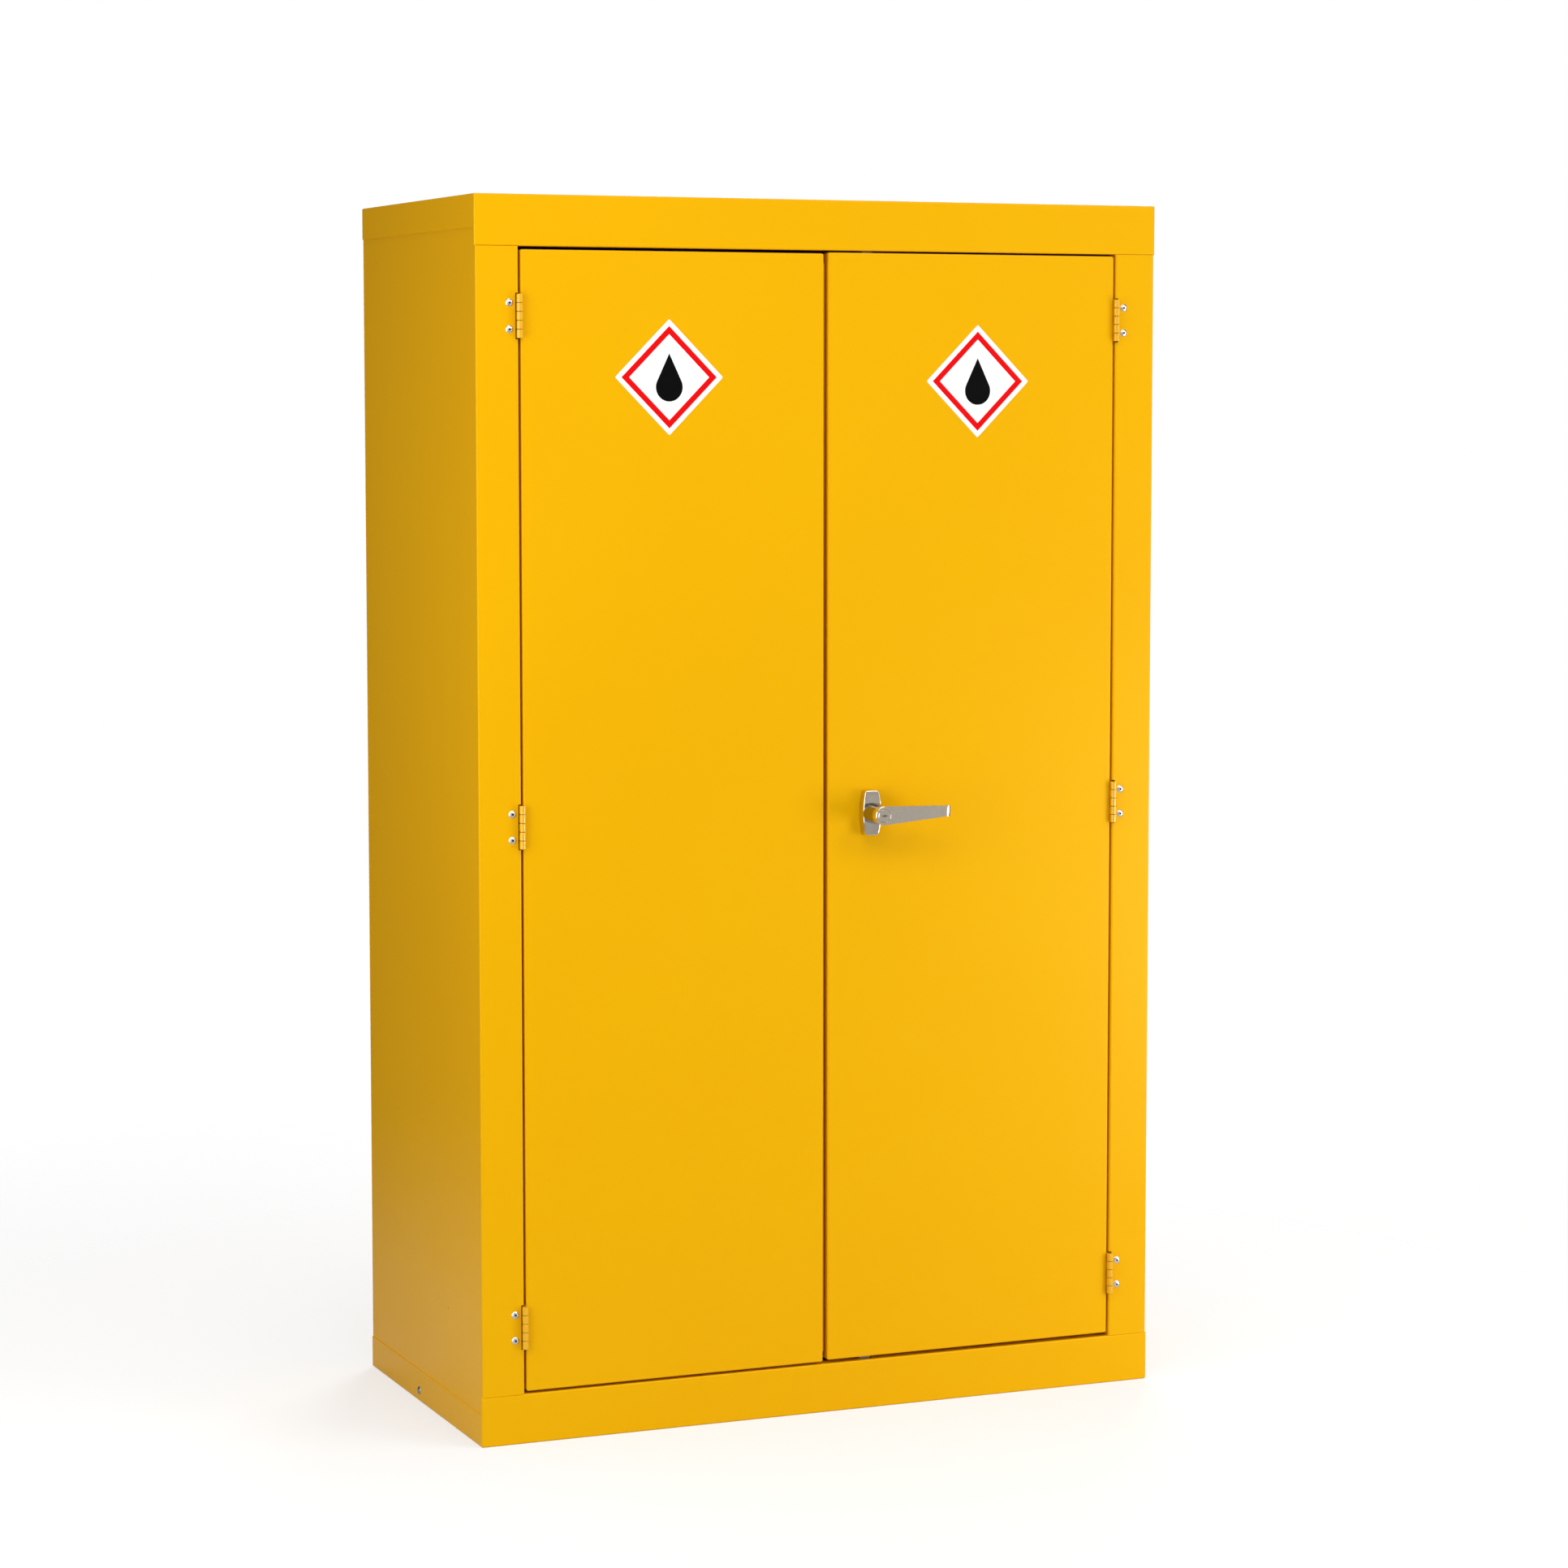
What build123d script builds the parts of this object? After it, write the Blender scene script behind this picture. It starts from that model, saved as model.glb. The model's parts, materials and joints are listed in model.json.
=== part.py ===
from build123d import *
import os
from math import cos, radians

# Flammable storage cabinet: a sheet-steel carcass with two hinged pan doors, a lever lock on the
# right door that drives two flat locking bars, three spill shelves and a sump.
# Frame: +X to the right as seen from the front, -Y towards the front, +Z up.  The origin is the
# centre of the carcass's footprint on the floor.  Millimetres.

# ---- Driving dimensions ----
height = 1525.0
width = 915.0
depth = 459.0

sheet = 1.2             # carcass, doors and shelves
bend = 1.6              # bend radius along the middle of the sheet
edge_round = 2.0        # rounded outer edges of the pressed trays and doors
corner_round = 2.5      # rounded corners of the doors
skirt = 40.0            # side and rear skirts of the top and the base
rail = 62.0             # front apron of the top, and front rail of the base
fold = 20.0             # rails and stiles fold back this far behind the front
stile = 55.5            # visible width of each front stile
rear_flange = 22.0      # side walls fold in behind the back panel's edges

hinge_gap = 3.0         # between a door and its stile
centre_gap = 6.4        # between the two doors
door_height = 1394.0
door_depth = 22.0
door_flange = 12.0
left_door_bottom = 65.2     # the left door hangs a little lower than the right one
right_door_bottom = 66.6

hinge_levels = {"lower": 145.5, "middle": 762.5, "upper": 1379.5}
hinge_height = 52.7
knuckle_count = 5
knuckle_gap = 0.6
knuckle_chamfer = 0.4
knuckle_radius = 3.9
pin_radius = 2.0
pin_clearance = 0.05
pin_axis_proud = 3.85   # hinge axis in front of the cabinet's face
pin_axis_inset = 0.2    # hinge axis inside the edge of the opening
leaf = 1.5              # hinge leaf thickness
notch_depth = 3.9
notch_height = 55.6

rivet_inset = 44.0      # from the cabinet's outer side
rivet_spacing = 31.8
rivet_radius = 2.4
rivet_head_radius = 4.75
rivet_head_height = 1.6
rivet_recess = 1.4      # radius of the recess that the broken stem leaves
rivet_recess_floor = 0.7    # in front of the cabinet's face
rivet_tail = 3.2
rivet_tail_length = 3.5

spindle_x = 58.5
spindle_z = 762.5
spindle_radius = 7.0
plate_proud = 13.0      # handle backplate, at its middle
lever_proud = 50.0      # front of the lever in front of the door
lever_thickness = 10.0
boss_radius = 11.75
plug_radius = 8.25
plug_length = 18.0

cam_radius = 10.0       # cam pins' distance from the spindle axis
cam_pin_radius = 3.0
bar_width = 16.0
bar_thickness = 3.0
bar_inset = 10.0        # middle of the bars behind the cabinet's face
bar_tip = 0.5           # bar tips at rest stop this far inside the opening

slot_pitch = 40.0       # shelf support strips
first_slot = 100.0
slot_count = 34
shelf_slots = {"lower": 9, "middle": 17, "upper": 26}
shelf_lip = 30.0
label_side = 100.0
label_corner = 0.8
label_thickness = 0.3
label_places = {"left": (-208.5, 1306.5), "right": (207.5, 1302.0)}

# ---- Places worked out from the dimensions ----
half_width = width / 2
front = -depth / 2
rear = depth / 2
wall_outside = half_width - sheet       # the side walls stand inside the skirts
wall_inside = wall_outside - sheet
opening = half_width - stile            # half of the doorway's width
opening_top = height - rail
door_outer = opening - hinge_gap
door_inner = centre_gap / 2
door_middle = (door_outer + door_inner) / 2
door_back = front + door_depth
inside_face = front + sheet             # inner face of the stiles, rails and doors
pin_x = opening - pin_axis_inset
pin_y = front - pin_axis_proud
leaf_back = inside_face + leaf
knuckle_pitch = (hinge_height + knuckle_gap) / knuckle_count
bar_y = front + bar_inset
bar_front = bar_y - bar_thickness / 2
bar_back = bar_y + bar_thickness / 2
bar_reach = opening_top - bar_tip - spindle_z
door_bottoms = {"left": left_door_bottom, "right": right_door_bottom}
sides = {"left": -1, "right": 1}

os.makedirs("parts", exist_ok=True)


def facing(y):
    """A plane at this depth, with x to the right and y up, from which extrusions come forwards."""
    return Plane.XZ.offset(-y)


def on_spindle(y):
    """The same, with its origin on the axis of the handle's spindle."""
    return Plane((spindle_x, y, spindle_z), x_dir=(1, 0, 0), z_dir=(0, -1, 0))


def between(low, high, mode=Mode.ADD):
    """A box between two opposite corners, given in either order."""
    middle = tuple((a + b) / 2 for a, b in zip(low, high))
    with Locations(middle):
        Box(*(abs(b - a) for a, b in zip(low, high)), mode=mode)


def bent_strip(z, points, thickness=sheet):
    """The section, at height z, of sheet bent along the middle line through the points."""
    with BuildSketch(Plane.XY.offset(z)) as strip:
        with BuildLine():
            FilletPolyline(*points, radius=bend)
        trace(line_width=thickness)
    return strip.sketch


# ---- Carcass ----
strike_width = 20.0
strike_depth = 6.0

with BuildPart() as top_panel:
    between((-half_width, front, opening_top), (half_width, rear, height))
    top_edges = top_panel.edges().group_by(Axis.Z)[-1]
    corner_edges = top_panel.edges().filter_by(Axis.Z)
    fillet(top_edges + corner_edges, radius=edge_round)
    between((-wall_outside, inside_face, opening_top),
            (wall_outside, rear - sheet, height - sheet), mode=Mode.SUBTRACT)
    # Only the front apron reaches down to the doorway.
    between((-half_width, front + 2 * edge_round, opening_top),
            (half_width, rear, height - skirt), mode=Mode.SUBTRACT)
    between((-wall_inside, inside_face, opening_top), (wall_inside, front + fold, opening_top + sheet))
    # The fold is rounded from side to side.
    with BuildSketch(Plane.YZ):
        with Locations((front, opening_top)):
            Rectangle(edge_round, edge_round, align=Align.MIN)
        with Locations((front + edge_round, opening_top + edge_round)):
            Circle(edge_round, mode=Mode.SUBTRACT)
    extrude(amount=half_width, both=True, mode=Mode.SUBTRACT)
    # Strike slot for the upper locking bar.
    between((spindle_x - strike_width / 2, bar_y - strike_depth / 2, opening_top),
            (spindle_x + strike_width / 2, bar_y + strike_depth / 2, opening_top + sheet),
            mode=Mode.SUBTRACT)
top_panel.part.label = "top_panel"
export_step(top_panel.part, "parts/top_panel.step")

screw_y = front + 253.0
screw_z = 14.0
screw_radius = 2.5

with BuildPart() as base_panel:
    mirror(top_panel.part, about=Plane.XY.offset(height / 2))
    with Locations(Location((0, screw_y, screw_z), (0, 90, 0))):
        Cylinder(screw_radius, width, mode=Mode.SUBTRACT)
base_panel.part.label = "base_panel"
export_step(base_panel.part, "parts/base_panel.step")

with BuildPart() as back_panel:
    between((-wall_outside, rear - 2 * sheet, sheet), (wall_outside, rear - sheet, height - sheet))
back_panel.part.label = "back_panel"
export_step(back_panel.part, "parts/back_panel.step")

rivet_x = half_width - rivet_inset
rivet_heights = [level + end * rivet_spacing / 2 for level in hinge_levels.values() for end in (-1, 1)]


stile_step = 2.5        # beyond the doorway the wall stops this far behind the face
rear_stop = 2.5 * sheet     # middle of the rear flange, in front of the rear


def side_panel(side):
    """Side wall, front stile with its fold, and rear flange, bent from one sheet."""
    fold_x = side * (opening + sheet / 2)
    wall_x = side * (wall_outside - sheet / 2)
    flange_y = rear - rear_stop
    outline = [(fold_x, front + fold), (fold_x, front + sheet / 2), (wall_x, front + sheet / 2),
               (wall_x, flange_y), (wall_x - side * rear_flange, flange_y)]
    with BuildPart() as panel:
        extrude(bent_strip(sheet, outline), amount=height - 2 * sheet)
        # The stile fills only the height of the doorway; beyond it the wall stands behind the rails.
        for low, high in ((0, rail), (opening_top, height)):
            between((0, front, low), (side * half_width, front + stile_step, high),
                    mode=Mode.SUBTRACT)
            between((0, front, low), (side * (opening + stile / 2), front + fold + sheet, high),
                    mode=Mode.SUBTRACT)
        for level in hinge_levels.values():
            between((side * (opening - sheet), front, level - notch_height / 2),
                    (side * (opening + notch_depth), front + notch_depth, level + notch_height / 2),
                    mode=Mode.SUBTRACT)
        with BuildSketch(facing(inside_face)):
            with Locations(*((side * rivet_x, z) for z in rivet_heights)):
                Circle(rivet_radius)
        extrude(amount=sheet, mode=Mode.SUBTRACT)
        with Locations(Location((side * wall_inside, screw_y, screw_z), (0, 90, 0))):
            Cylinder(screw_radius, 4 * sheet, mode=Mode.SUBTRACT)
    return panel


for name, side in sides.items():
    panel = side_panel(side)
    panel.part.label = f"{name}_side_panel"
    export_step(panel.part, f"parts/{name}_side_panel.step")

screw_head_radius = 5.3
screw_head_height = 2.4
screw_reach = 11.0      # shank, from the outside of the base inwards
screw_shoulder = 0.6    # the head is nearly full height out to this share of its radius

with BuildPart() as base_side_screws:
    for side in sides.values():
        face = side * half_width
        crown = face + side * screw_head_height
        shank_end = face - side * screw_reach
        with BuildSketch(Plane.XY.offset(screw_z)):
            with BuildLine():
                ThreePointArc((crown, screw_y),
                              (crown - side * 0.5, screw_y + screw_shoulder * screw_head_radius),
                              (face, screw_y + screw_head_radius))
                Polyline((face, screw_y + screw_head_radius), (face, screw_y + screw_radius),
                         (shank_end, screw_y + screw_radius), (shank_end, screw_y), (crown, screw_y))
            make_face()
        revolve(axis=Axis((0, screw_y, screw_z), (1, 0, 0)))
base_side_screws.part.label = "base_side_screws"
export_step(base_side_screws.part, "parts/base_side_screws.step")

# ---- Sump, shelves and their supports ----
sump_half = 436.0
sump_front = front + 26.5
sump_rear = rear - 14.5
sump_top = 61.0

with BuildPart() as sump_tray:
    between((-sump_half, sump_front, sheet), (sump_half, sump_rear, sump_top))
    fillet(sump_tray.edges().filter_by(Axis.Z), radius=6)
    fillet(sump_tray.faces().sort_by(Axis.Z)[0].edges(), radius=edge_round)
    offset(amount=-sheet, openings=sump_tray.faces().sort_by(Axis.Z)[-1])
sump_tray.part.label = "sump_tray"
export_step(sump_tray.part, "parts/sump_tray.step")

strip_width = 20.0
strip_depth = 8.0
strip_sheet = 1.0
strip_slot = (10.0, 4.0)    # width and height of each slot
strip_places = {"front": -160.0, "rear": 175.0}
web_face = wall_inside - strip_depth    # face of the strips that the shelf clips hang on


def support_strip(side, y):
    """Slotted channel on a side wall; the shelf clips hook into its slots."""
    wall_x = side * wall_inside
    web_x = side * (web_face + strip_sheet / 2)
    edge = (strip_width - strip_sheet) / 2
    section = [(wall_x, y - edge), (web_x, y - edge), (web_x, y + edge), (wall_x, y + edge)]
    with BuildPart() as strip:
        extrude(bent_strip(first_slot - slot_pitch / 2, section, strip_sheet),
                amount=slot_pitch * slot_count)
        with BuildSketch(Plane.YZ.offset(side * web_face)):
            with Locations(*((y, first_slot + slot_pitch * i) for i in range(slot_count))):
                Rectangle(*strip_slot)
        extrude(amount=1.5 * strip_sheet, both=True, mode=Mode.SUBTRACT)
    return strip


for name, side in sides.items():
    for place, y in strip_places.items():
        strip = support_strip(side, y)
        strip.part.label = f"{name}_{place}_shelf_strip"
        export_step(strip.part, f"parts/{name}_{place}_shelf_strip.step")

clip_sheet = 1.5
clip_width = 16.0
clip_drop = 14.0        # the clip's back reaches this far below its hook
clip_ledge = 16.0
hook_width = 9.0
hook_height = 3.0
hook_reach = 4.0
ledge_above_slot = 6.0


def shelf_clips(slot_z):
    """Four angle clips, each hooked into a strip, with a ledge under the shelf."""
    ledge_z = slot_z + ledge_above_slot
    with BuildPart() as clips:
        for side in sides.values():
            for y in strip_places.values():
                low_y, high_y = y - clip_width / 2, y + clip_width / 2
                face = side * web_face
                back = side * (web_face - clip_sheet)
                between((face, low_y, slot_z - clip_drop), (back, high_y, ledge_z))
                between((face, low_y, ledge_z - clip_sheet),
                        (face - side * clip_ledge, high_y, ledge_z))
                between((back, y - hook_width / 2, slot_z - hook_height / 2),
                        (face + side * hook_reach, y + hook_width / 2, slot_z + hook_height / 2))
    return clips


shelf_play = 2.0        # between a shelf and the clips beside it
shelf_half = web_face - clip_sheet - shelf_play
shelf_front = front + 40.0
shelf_rear = rear - 17.0

for name, slot in shelf_slots.items():
    slot_z = first_slot + slot * slot_pitch
    clips = shelf_clips(slot_z)
    clips.part.label = f"{name}_shelf_clips"
    export_step(clips.part, f"parts/{name}_shelf_clips.step")

    shelf_z = slot_z + ledge_above_slot
    with BuildPart() as shelf:
        between((-shelf_half, shelf_front, shelf_z), (shelf_half, shelf_rear, shelf_z + shelf_lip))
        fillet(shelf.edges().filter_by(Axis.Z), radius=4)
        fillet(shelf.faces().sort_by(Axis.Z)[0].edges(), radius=edge_round)
        offset(amount=-sheet, openings=shelf.faces().sort_by(Axis.Z)[-1])
    shelf.part.label = f"{name}_shelf"
    export_step(shelf.part, f"parts/{name}_shelf.step")


# ---- Hinges ----
knuckle_height = knuckle_pitch - knuckle_gap
leg_play = 0.4          # between a frame leaf's legs and the edge of the doorway
frame_leaf_width = 28.0     # behind the stile, from the edge of the doorway
leaf_play = 0.3         # between a door leaf's plate and the frame's knuckles


def knuckles(side, level, places):
    """Knuckles with chamfered rims at some of the five places along the pin, counted from below."""
    bottoms = [level - hinge_height / 2 + place * knuckle_pitch for place in places]
    with Locations(*((side * pin_x, pin_y, z) for z in bottoms)):
        Cylinder(knuckle_radius, knuckle_height, align=(Align.CENTER, Align.CENTER, Align.MIN))
    chamfer(edges(Select.LAST).filter_by(GeomType.CIRCLE), length=knuckle_chamfer)
    return bottoms


def legs_and_bores(side, level, bottoms, leg_x, leg_end_y, bore):
    """Join each knuckle to its leaf by a leg, then open the bores for the pin."""
    for z in bottoms:
        between((side * leg_x, pin_y, z), (side * (leg_x + leaf), leg_end_y, z + knuckle_height))
    with Locations((side * pin_x, pin_y, level)):
        Cylinder(bore, hinge_height, mode=Mode.SUBTRACT)


def frame_leaf(side, level):
    """Leaf on the carcass: its legs pass through the stile's notch and it lies behind the stile."""
    leg_x = opening + leg_play
    with BuildPart() as frame_side:
        bottoms = knuckles(side, level, (0, 2, 4))
        legs_and_bores(side, level, bottoms, leg_x, leaf_back, pin_radius)
        between((side * leg_x, inside_face, level - hinge_height / 2),
                (side * (opening + frame_leaf_width), leaf_back, level + hinge_height / 2))
        with BuildSketch(facing(leaf_back)):
            with Locations(*((side * rivet_x, level + end * rivet_spacing / 2) for end in (-1, 1))):
                Circle(rivet_radius)
        extrude(amount=leaf, mode=Mode.SUBTRACT)
    return frame_side


def door_leaf(side, level):
    """Leaf on the door: it lies along the outside of the door's folded edge, in the gap."""
    plate_start = pin_y + knuckle_radius + leaf_play
    with BuildPart() as door_side:
        bottoms = knuckles(side, level, (1, 3))
        legs_and_bores(side, level, bottoms, door_outer, plate_start, pin_radius + pin_clearance)
        between((side * door_outer, plate_start, level - hinge_height / 2),
                (side * (door_outer + leaf), door_back - 2 * sheet, level + hinge_height / 2))
    return door_side


for name, side in sides.items():
    for level_name, level in hinge_levels.items():
        hinge = f"{name}_{level_name}_hinge"
        frame_side = frame_leaf(side, level)
        frame_side.part.label = f"{hinge}_frame_leaf"
        export_step(frame_side.part, f"parts/{hinge}_frame_leaf.step")

        door_side = door_leaf(side, level)
        door_side.part.label = f"{hinge}_door_leaf"
        export_step(door_side.part, f"parts/{hinge}_door_leaf.step")

        with BuildPart() as pin:
            with Locations((side * pin_x, pin_y, level)):
                Cylinder(pin_radius, hinge_height)
            chamfer(pin.edges().filter_by(GeomType.CIRCLE), length=0.5)
        pin.part.label = f"{hinge}_pin"
        export_step(pin.part, f"parts/{hinge}_pin.step")

    # Blind rivets through the stile and the frame leaves, two to a hinge.
    with BuildPart() as rivets:
        for z in rivet_heights:
            x = side * rivet_x
            tail_y = leaf_back + rivet_tail_length
            with BuildSketch(Plane.XY.offset(z)):
                with BuildLine():
                    Polyline((x, tail_y), (x, front - rivet_recess_floor),
                             (x + rivet_recess, front - rivet_recess_floor),
                             (x + rivet_recess, front - rivet_head_height))
                    ThreePointArc((x + rivet_recess, front - rivet_head_height),
                                  (x + 0.72 * rivet_head_radius, front - 0.66 * rivet_head_height),
                                  (x + rivet_head_radius, front))
                    Polyline((x + rivet_head_radius, front), (x + rivet_radius, front),
                             (x + rivet_radius, leaf_back), (x + rivet_tail, leaf_back),
                             (x + rivet_tail, tail_y), (x, tail_y))
                make_face()
            revolve(axis=Axis((x, front, z), (0, 1, 0)))
    rivets.part.label = f"{name}_hinge_rivets"
    export_step(rivets.part, f"parts/{name}_hinge_rivets.step")


# ---- Doors ----
def door_pan(side, bottom):
    """Door face with folded edges and a narrow inner flange all round, pressed from one sheet."""
    top = bottom + door_height
    lip = sheet + door_flange
    with BuildPart() as pan:
        between((side * door_inner, front, bottom), (side * door_outer, door_back, top))
        fillet(pan.edges().filter_by(Axis.Y), radius=corner_round)
        fillet(pan.faces().sort_by(Axis.Y)[0].edges(), radius=edge_round)
        between((side * (door_inner + sheet), inside_face, bottom + sheet),
                (side * (door_outer - sheet), door_back - sheet, top - sheet), mode=Mode.SUBTRACT)
        between((side * (door_inner + lip), door_back - sheet, bottom + lip),
                (side * (door_outer - lip), door_back, top - lip), mode=Mode.SUBTRACT)
    return pan


hat_depth = 15.0
hat_half_width = 20.0
hat_foot = 16.0
hat_end = 30.0          # the stiffener stops this far from each end of the door


def hat_section(x, foot_y, crown_y, half, foot):
    """Middle line of a hat channel: two feet, two sides and the crown between them."""
    return [(x - half - foot, foot_y), (x - half, foot_y), (x - half, crown_y),
            (x + half, crown_y), (x + half, foot_y), (x + half + foot, foot_y)]


def door_stiffener(side, bottom):
    """Upright hat channel behind the middle of a door's face."""
    foot_y = inside_face + sheet / 2
    section = hat_section(side * door_middle, foot_y, foot_y + hat_depth, hat_half_width, hat_foot)
    with BuildPart() as stiffener:
        extrude(bent_strip(bottom + hat_end, section), amount=door_height - 2 * hat_end)
    return stiffener


def door_label(x, z):
    """Square vinyl label stood on its corner, on the face of a door."""
    with BuildPart() as label:
        with BuildSketch(facing(front)):
            with Locations((x, z)):
                RectangleRounded(label_side, label_side, radius=label_corner, rotation=45)
        extrude(amount=label_thickness)
    return label


for name, side in sides.items():
    stiffener = door_stiffener(side, door_bottoms[name])
    stiffener.part.label = f"{name}_door_stiffener"
    export_step(stiffener.part, f"parts/{name}_door_stiffener.step")

for name, place in label_places.items():
    label = door_label(*place)
    label.part.label = f"{name}_door_label"
    export_step(label.part, f"parts/{name}_door_label.step")

left_door_panel = door_pan(sides["left"], left_door_bottom)
left_door_panel.part.label = "left_door_panel"
export_step(left_door_panel.part, "parts/left_door_panel.step")

closing_strip_depth = 15.0
closing_strip_end = 12.0    # the strip stops this far from each end of the door
closing_strip_edge = 0.4    # its edge, just past the middle of the gap between the doors

with BuildPart() as left_door_closing_strip:
    between((-door_inner, door_back - closing_strip_depth, left_door_bottom + closing_strip_end),
            (closing_strip_edge, door_back, left_door_bottom + door_height - closing_strip_end))
left_door_closing_strip.part.label = "left_door_closing_strip"
export_step(left_door_closing_strip.part, "parts/left_door_closing_strip.step")

fixing_screw_places = [(0, -21.0), (0, 21.0)]   # above and below the spindle
fixing_screw_radius = 2.5
fixing_head_radius = 4.2
fixing_head_height = 2.8
bar_slot_half = bar_width / 2 + 0.6
bar_slot_depth = 4.0
spindle_hole = spindle_radius + 1.0

with BuildPart() as right_door_panel:
    add(door_pan(sides["right"], right_door_bottom).part)
    with BuildSketch(on_spindle(inside_face)):
        Circle(spindle_hole)
        with Locations(*fixing_screw_places):
            Circle(fixing_screw_radius)
    extrude(amount=sheet, mode=Mode.SUBTRACT)
    # Slots in the folded top and bottom edges let the locking bars through.
    for z in (right_door_bottom, right_door_bottom + door_height - sheet):
        between((spindle_x - bar_slot_half, bar_y - bar_slot_depth / 2, z),
                (spindle_x + bar_slot_half, bar_y + bar_slot_depth / 2, z + sheet), mode=Mode.SUBTRACT)
right_door_panel.part.label = "right_door_panel"
export_step(right_door_panel.part, "parts/right_door_panel.step")

# ---- Handle ----
plate_half_height = 28.5
plate_half_width = 13.3
plate_end_half_width = 9.6
plate_end_bulge = 0.7
plate_crown = 1.4       # the face falls back this far from its middle to its ends
plate_taper = 4.0       # degrees
plate_front = front - plate_proud
lever_front = front - lever_proud
neck_back = plate_front - 0.4       # the turning neck stands just clear of the fixed backplate
spindle_front = neck_back - 14.5
cam_front = inside_face + 3.8
cam_back = cam_front + 2.8
screw_depth = 9.0                   # threads in the backplate and in the spindle

with BuildPart() as handle_backplate:
    with BuildSketch(on_spindle(front)) as plate_outline:
        with BuildLine():
            for end in (-1, 1):
                ThreePointArc((end * plate_end_half_width, -plate_half_height),
                              (end * plate_half_width, 0),
                              (end * plate_end_half_width, plate_half_height))
                ThreePointArc((-plate_end_half_width, end * plate_half_height),
                              (0, end * (plate_half_height + plate_end_bulge)),
                              (plate_end_half_width, end * plate_half_height))
        make_face()
        fillet(plate_outline.vertices(), radius=4)
    extrude(amount=plate_proud, taper=plate_taper)
    # The face is crowned from top to bottom.
    with BuildSketch(Plane.YZ.offset(spindle_x)):
        with BuildLine():
            crown_top = (plate_front + plate_crown, spindle_z + plate_half_height)
            crown_foot = (plate_front + plate_crown, spindle_z - plate_half_height)
            ThreePointArc(crown_top, (plate_front, spindle_z), crown_foot)
            Polyline(crown_foot, (plate_front + plate_crown, spindle_z - 2 * plate_half_height),
                     (plate_front - plate_crown, spindle_z - 2 * plate_half_height),
                     (plate_front - plate_crown, spindle_z + 2 * plate_half_height),
                     (plate_front + plate_crown, spindle_z + 2 * plate_half_height), crown_top)
        make_face()
    extrude(amount=2 * plate_half_width, both=True, mode=Mode.SUBTRACT)
    fillet(handle_backplate.faces().sort_by(Axis.Y)[0].edges(), radius=1.6)
    with BuildSketch(on_spindle(front)):
        Circle(spindle_radius + pin_clearance)
    extrude(amount=plate_proud, mode=Mode.SUBTRACT)
    with BuildSketch(on_spindle(front)):
        with Locations(*fixing_screw_places):
            Circle(fixing_screw_radius)
    extrude(amount=screw_depth, mode=Mode.SUBTRACT)
handle_backplate.part.label = "handle_backplate"
export_step(handle_backplate.part, "parts/handle_backplate.step")

with BuildPart() as handle_fixing_screws:
    with BuildSketch(on_spindle(inside_face)):
        with Locations(*fixing_screw_places):
            Circle(fixing_screw_radius)
    extrude(amount=sheet + screw_depth)
    with BuildSketch(on_spindle(inside_face + fixing_head_height)):
        with Locations(*fixing_screw_places):
            Circle(fixing_head_radius)
    extrude(amount=fixing_head_height)
handle_fixing_screws.part.label = "handle_fixing_screws"
export_step(handle_fixing_screws.part, "parts/handle_fixing_screws.step")

lever_reach = 94.5          # from the spindle axis to the tip
tip_top = 9.4               # the arm's edges slope in towards the tip
tip_bottom = -2.9
tip_round = 5.5
tip_fall = 9.0          # the tip curves back over this length and depth
neck_foot_radius = 13.0
boss_edge = 0.6
bore_edge = 0.3         # with the plug's own edge it makes the fine line round the plug
plug_edge = 0.5
key_depth = 6.0

with BuildPart() as handle_lever:
    # The arm as seen from the front, then as seen from above, where its tip curves back.
    with BuildSketch(on_spindle(lever_front + lever_thickness)):
        with BuildLine():
            FilletPolyline((0, boss_radius), (lever_reach, tip_top), (lever_reach, tip_bottom),
                           (2, -boss_radius + 0.2), radius=tip_round)
            Line((2, -boss_radius + 0.2), (0, boss_radius))
        make_face()
    extrude(amount=lever_thickness)
    with BuildSketch(Plane.XY.offset(spindle_z - 2 * boss_radius)):
        with BuildLine():
            shoulder = (spindle_x + lever_reach - tip_fall, lever_front)
            nose = (spindle_x + lever_reach, lever_front + tip_fall)
            heel_x = spindle_x - 2 * boss_radius
            Polyline(nose, (spindle_x + lever_reach, neck_back), (heel_x, neck_back),
                     (heel_x, lever_front), shoulder)
            RadiusArc(shoulder, nose, -tip_fall - 0.5)
        make_face()
    extrude(amount=4 * boss_radius, mode=Mode.INTERSECT)
    # Boss, and the conical neck that turns against the backplate.
    with BuildSketch(Plane.XY.offset(spindle_z)):
        with BuildLine():
            Polyline((spindle_x, lever_front), (spindle_x + boss_radius - boss_edge, lever_front),
                     (spindle_x + boss_radius, lever_front + boss_edge),
                     (spindle_x + boss_radius, lever_front + lever_thickness),
                     (spindle_x + neck_foot_radius, neck_back), (spindle_x, neck_back), close=True)
        make_face()
    revolve(axis=Axis((spindle_x, front, spindle_z), (0, 1, 0)))
    bore_length = plug_length + 0.5
    with BuildSketch(on_spindle(lever_front + bore_length)):
        Circle(plug_radius + pin_clearance)
    extrude(amount=bore_length, mode=Mode.SUBTRACT)
    bore_rim = handle_lever.edges().filter_by(GeomType.CIRCLE).sort_by(Axis.Y).group_by(Axis.Y)[0]
    chamfer(bore_rim.sort_by(SortBy.RADIUS)[0], length=bore_edge)
    with BuildSketch(on_spindle(neck_back)):
        Circle(spindle_radius)
    extrude(amount=neck_back - spindle_front, mode=Mode.SUBTRACT)
handle_lever.part.label = "handle_lever"
export_step(handle_lever.part, "parts/handle_lever.step")

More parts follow.
